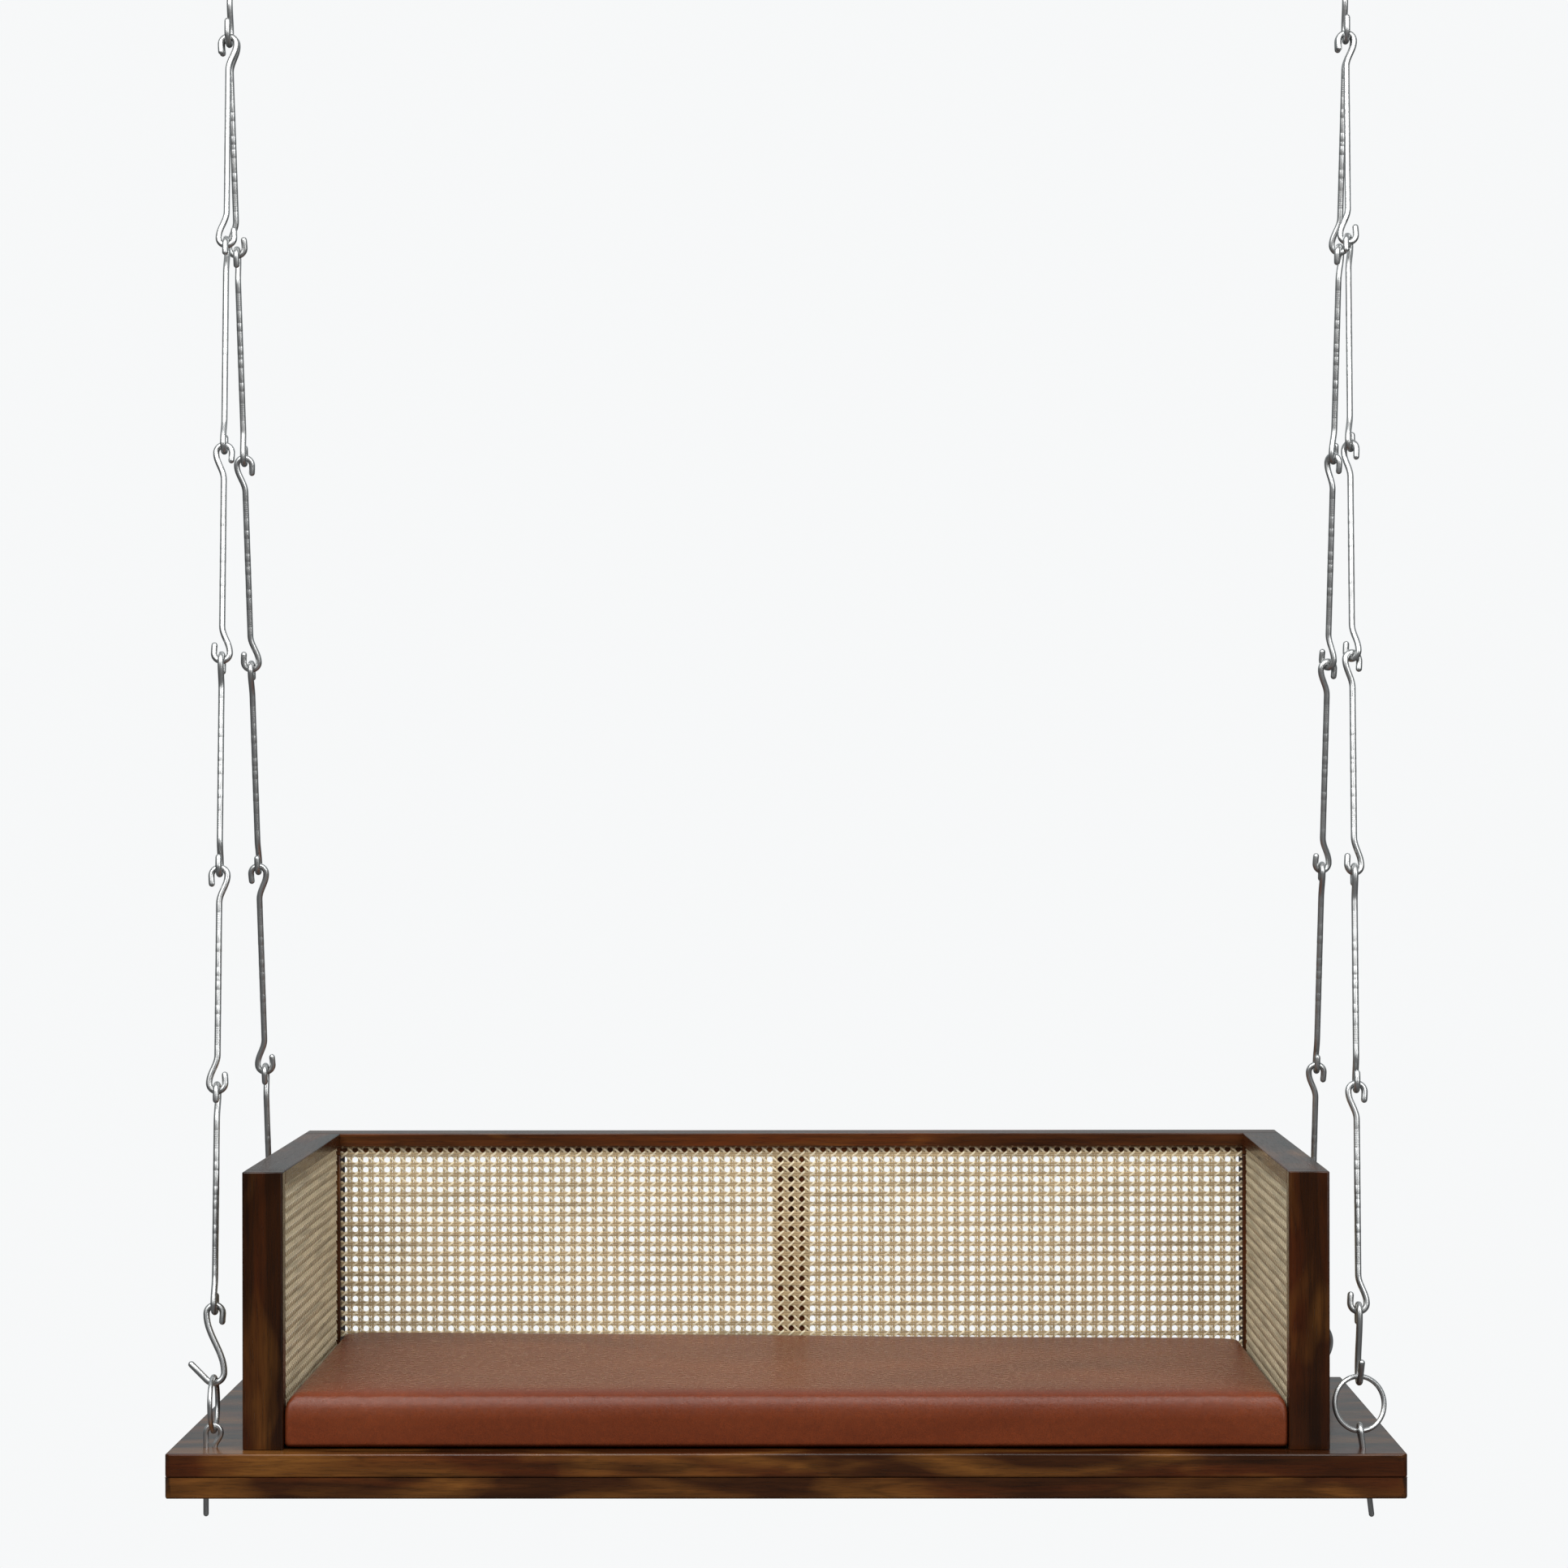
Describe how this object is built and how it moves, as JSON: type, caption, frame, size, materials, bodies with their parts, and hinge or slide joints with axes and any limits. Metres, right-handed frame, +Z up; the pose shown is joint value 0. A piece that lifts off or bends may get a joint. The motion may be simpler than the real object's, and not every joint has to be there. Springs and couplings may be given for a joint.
{
  "type": "porch swing",
  "caption": "Hanging swing seat: a caned wooden bench with a box cushion on a layered platform, hung from the ceiling by V-shaped chains of long steel S links.",
  "frame": {"origin": "on the ceiling plane, midway between the two ceiling plates", "axes": "+Z up, +Y towards the bench's back, +X along the bench to the sitter's left"},
  "size_m": [1.38, 0.6, 1.75],
  "materials": {
    "dark_wood": "dark rosewood, glossy lacquer",
    "cane": "natural split cane, satin",
    "leatherette": "brown coated fabric over foam, satin grain",
    "steel": "polished stainless wire"
  },
  "bodies": {
    "ceiling_fixings": {"ceiling_plate_left": "steel", "ceiling_plate_right": "steel", "ceiling_eye_left": "steel", "ceiling_eye_right": "steel"},
    "hanger_left": {"hanger_left": "steel"},
    "hanger_right": {"hanger_right": "steel"},
    "chains_left": {"link_lf_1": "steel", "link_lf_2": "steel", "link_lf_3": "steel", "link_lf_4": "steel", "link_lf_5": "steel", "link_lf_6": "steel", "s_hook_lf": "steel", "ring_lf": "steel", "link_lb_1": "steel", "link_lb_2": "steel", "link_lb_3": "steel", "link_lb_4": "steel", "link_lb_5": "steel", "link_lb_6": "steel", "s_hook_lb": "steel", "ring_lb": "steel"},
    "chains_right": {"link_rf_1": "steel", "link_rf_2": "steel", "link_rf_3": "steel", "link_rf_4": "steel", "link_rf_5": "steel", "link_rf_6": "steel", "s_hook_rf": "steel", "ring_rf": "steel", "link_rb_1": "steel", "link_rb_2": "steel", "link_rb_3": "steel", "link_rb_4": "steel", "link_rb_5": "steel", "link_rb_6": "steel", "s_hook_rb": "steel", "ring_rb": "steel"},
    "seat": {"platform_top_board": "dark_wood", "platform_lower_board": "dark_wood", "back_top_rail": "dark_wood", "back_bottom_rail": "dark_wood", "back_centre_stile": "dark_wood", "front_post_left": "dark_wood", "back_post_left": "dark_wood", "arm_rail_left": "dark_wood", "arm_sill_left": "dark_wood", "front_post_right": "dark_wood", "back_post_right": "dark_wood", "arm_rail_right": "dark_wood", "arm_sill_right": "dark_wood", "cane_back": "cane", "cane_left": "cane", "cane_right": "cane", "cushion": "leatherette", "eye_staple_lf": "steel", "eye_staple_lb": "steel", "eye_staple_rf": "steel", "eye_staple_rb": "steel"}
  },
  "joints": [
    {"name": "swing_left", "type": "hinge", "parent": "ceiling_fixings", "child": "hanger_left", "pos_m": [-0.64, 0, -0.0393], "axis": [1, 0, 0], "range_deg": [-30, 30]},
    {"name": "swing_right", "type": "hinge", "parent": "ceiling_fixings", "child": "hanger_right", "pos_m": [0.64, 0, -0.0393], "axis": [1, 0, 0], "range_deg": [-30, 30]},
    {"name": "sway_left", "type": "hinge", "parent": "hanger_left", "child": "chains_left", "pos_m": [-0.64, 0, -0.1054], "axis": [0, 1, 0], "range_deg": [-5, 5]},
    {"name": "sway_right", "type": "hinge", "parent": "hanger_right", "child": "chains_right", "pos_m": [0.64, 0, -0.1054], "axis": [0, 1, 0], "range_deg": [-5, 5]},
    {"name": "seat_level", "type": "hinge", "parent": "chains_left", "child": "seat", "pos_m": [-0.6205, 0, -1.651], "axis": [0, 1, 0], "range_deg": [-5.2, 5.2]}
  ],
  "couplings": [
    {"joint": "swing_right", "follows": "swing_left", "ratio": 1},
    {"joint": "sway_right", "follows": "sway_left", "ratio": 1},
    {"joint": "seat_level", "follows": "sway_left", "ratio": -1.0314}
  ]
}
